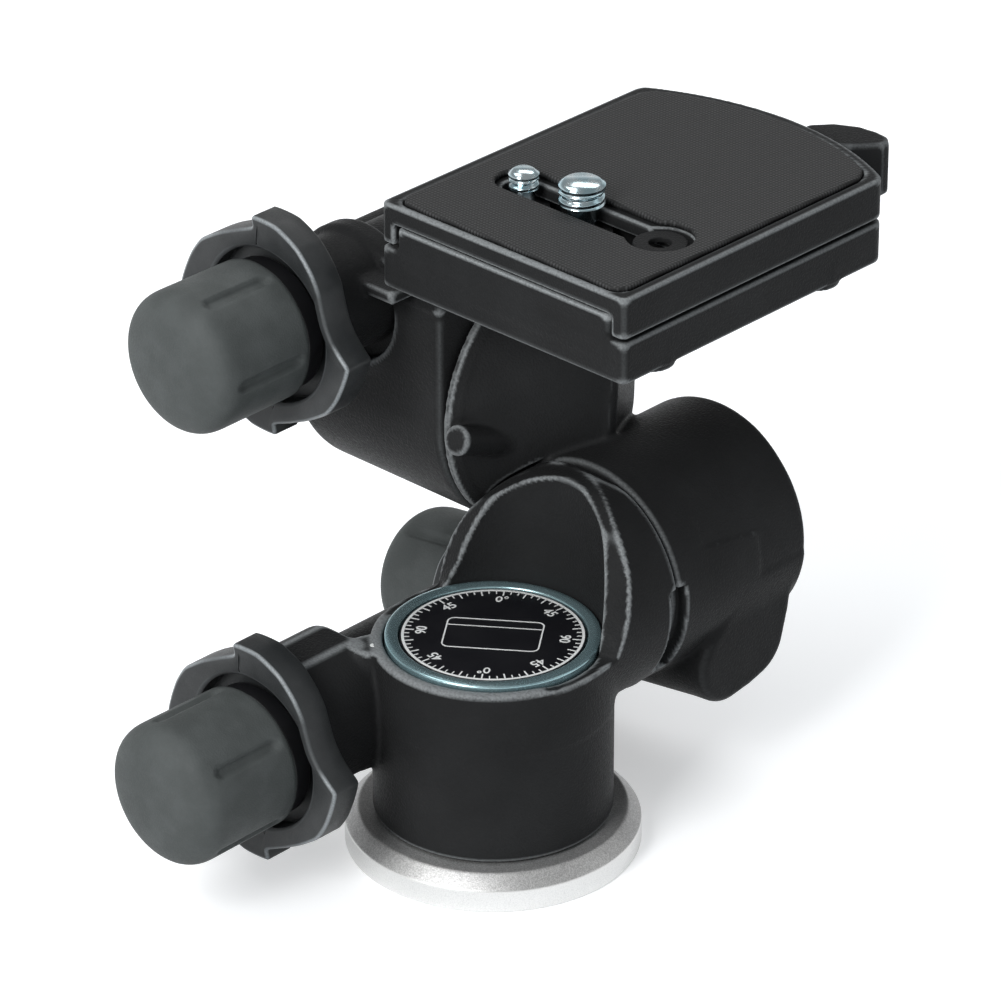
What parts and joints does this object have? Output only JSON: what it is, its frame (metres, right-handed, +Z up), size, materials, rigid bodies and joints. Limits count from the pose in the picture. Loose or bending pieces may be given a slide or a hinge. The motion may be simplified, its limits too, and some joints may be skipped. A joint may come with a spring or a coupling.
{
  "type": "geared tripod head",
  "caption": "Three-way geared camera head with worm-driven pan, tilt and roll stages, winged release collars, a degree dial and a quick-release plate.",
  "frame": {"origin": "centre of the base's underside, on the upright pan axis, where the tripod's screw enters", "axes": "+Z up along the pan axis, -Y towards the pan and roll knobs, +X to the right of those knobs; the tilt axis is along Y and the roll axis along X"},
  "size_m": [0.1055, 0.1761, 0.1352],
  "materials": {
    "black_casting": "fine textured satin black paint on die-cast metal",
    "black_plastic": "satin dark grey moulding",
    "grey_rubber": "soft matt dark grey rubber",
    "raw_aluminium": "bead-blasted",
    "polished_ring": "polished",
    "dial_black": "black print with white scale",
    "steel": "turned",
    "zinc": "bright blue zinc plate",
    "bronze": "turned",
    "pad_rubber": "fine ribbed matt rubber"
  },
  "bodies": {
    "base": {"base_disc": "raw_aluminium", "base_insert": "steel", "pan_axle": "steel", "pan_worm_wheel": "bronze", "pan_wheel_nut": "steel", "pan_thrust_washer": "steel", "dial_bezel": "polished_ring", "dial_face": "dial_black"},
    "pan": {"pan_housing": "black_casting", "pan_cover_ring": "black_casting", "pan_end_bush": "bronze", "pan_rear_bush": "bronze", "pan_collar_spring": "steel", "tilt_axle": "steel", "tilt_worm_wheel": "bronze", "tilt_wheel_nut": "steel", "tilt_thrust_washer": "steel"},
    "pan_knob": {"pan_worm_shaft": "steel", "pan_knob_core": "black_plastic", "pan_knob_grip": "grey_rubber"},
    "pan_release": {"pan_collar": "black_plastic", "pan_worm_sleeve": "steel"},
    "tilt": {"tilt_housing": "black_casting", "tilt_cover_ring": "black_casting", "tilt_end_bush": "bronze", "tilt_rear_bush": "bronze", "tilt_collar_spring": "steel", "roll_axle": "steel", "roll_worm_wheel": "bronze", "roll_wheel_nut": "steel", "roll_thrust_washer": "steel"},
    "tilt_knob": {"tilt_worm_shaft": "steel", "tilt_knob_core": "black_plastic", "tilt_knob_grip": "grey_rubber"},
    "tilt_release": {"tilt_collar": "black_plastic", "tilt_worm_sleeve": "steel"},
    "roll": {"roll_housing": "black_casting", "roll_cover_ring": "black_casting", "roll_end_bush": "bronze", "roll_rear_bush": "bronze", "roll_collar_spring": "steel", "receiver": "black_casting", "receiver_screw_1": "steel", "receiver_screw_2": "steel", "lever_pin": "steel", "lever_spring": "steel"},
    "roll_knob": {"roll_worm_shaft": "steel", "roll_knob_core": "black_plastic", "roll_knob_grip": "grey_rubber"},
    "roll_release": {"roll_collar": "black_plastic", "roll_worm_sleeve": "steel"},
    "lever": {"lock_lever": "black_casting"},
    "plate": {"quick_release_plate": "black_casting", "plate_pad": "pad_rubber", "slot_end_washer": "steel"},
    "large_screw_slider": {"large_camera_screw_clip": "steel"},
    "large_screw": {"large_camera_screw": "zinc"},
    "small_screw_slider": {"small_camera_screw_clip": "steel"},
    "small_screw": {"small_camera_screw": "zinc"}
  },
  "joints": [
    {"name": "pan_turn", "type": "hinge", "parent": "base", "child": "pan", "pos_m": [0, 0, 0.0291], "axis": [0, 0, 1], "continuous": true},
    {"name": "pan_knob_turn", "type": "hinge", "parent": "pan", "child": "pan_knob", "pos_m": [-0.023, 0, 0.0291], "axis": [0, -1, 0], "continuous": true},
    {"name": "pan_release_turn", "type": "hinge", "parent": "pan", "child": "pan_release", "pos_m": [-0.023, 0, 0.0291], "axis": [0, -1, 0], "range_deg": [0, 45], "stiffness_Nm_per_rad": 0.3},
    {"name": "tilt_turn", "type": "hinge", "parent": "pan", "child": "tilt", "pos_m": [0, 0.048, 0.0492], "axis": [0, 1, 0], "range_deg": [-30, 90]},
    {"name": "tilt_knob_turn", "type": "hinge", "parent": "tilt", "child": "tilt_knob", "pos_m": [0.00336, 0.048, 0.02645], "axis": [-0.9893, 0, -0.1461], "range_deg": [-1440, 4320]},
    {"name": "tilt_release_turn", "type": "hinge", "parent": "tilt", "child": "tilt_release", "pos_m": [0.00336, 0.048, 0.02645], "axis": [-0.9893, 0, -0.1461], "range_deg": [0, 45], "stiffness_Nm_per_rad": 0.3},
    {"name": "roll_turn", "type": "hinge", "parent": "tilt", "child": "roll", "pos_m": [-0.0507, 0.0408, 0.0787], "axis": [1, 0, 0], "range_deg": [-90, 30]},
    {"name": "roll_knob_turn", "type": "hinge", "parent": "roll", "child": "roll_knob", "pos_m": [-0.0507, 0.0408, 0.1017], "axis": [0, -1, 0], "range_deg": [-4320, 1440]},
    {"name": "roll_release_turn", "type": "hinge", "parent": "roll", "child": "roll_release", "pos_m": [-0.0507, 0.0408, 0.1017], "axis": [0, -1, 0], "range_deg": [0, 45], "stiffness_Nm_per_rad": 0.3},
    {"name": "lever_turn", "type": "hinge", "parent": "roll", "child": "lever", "pos_m": [-0.017, 0.0916, 0.12], "axis": [0, 0, 1], "range_deg": [0, 60], "stiffness_Nm_per_rad": 0.1},
    {"name": "plate_lift", "type": "slide", "parent": "roll", "child": "plate", "axis": [0, 0, 1], "range_m": [0, 0.012]},
    {"name": "large_screw_slide", "type": "slide", "parent": "plate", "child": "large_screw_slider", "axis": [1, 0, 0], "range_m": [-0.002, 0.012]},
    {"name": "large_screw_turn", "type": "hinge", "parent": "large_screw_slider", "child": "large_screw", "pos_m": [-0.0028, 0.0282, 0.124], "axis": [0, 0, 1], "continuous": true},
    {"name": "small_screw_slide", "type": "slide", "parent": "plate", "child": "small_screw_slider", "axis": [1, 0, 0], "range_m": [-0.0005, 0.001]},
    {"name": "small_screw_turn", "type": "hinge", "parent": "small_screw_slider", "child": "small_screw", "pos_m": [-0.0184, 0.0282, 0.124], "axis": [0, 0, 1], "continuous": true}
  ],
  "couplings": [
    {"joint": "pan_knob_turn", "follows": "pan_turn", "ratio": 48},
    {"joint": "tilt_knob_turn", "follows": "tilt_turn", "ratio": 48},
    {"joint": "roll_knob_turn", "follows": "roll_turn", "ratio": 48}
  ]
}
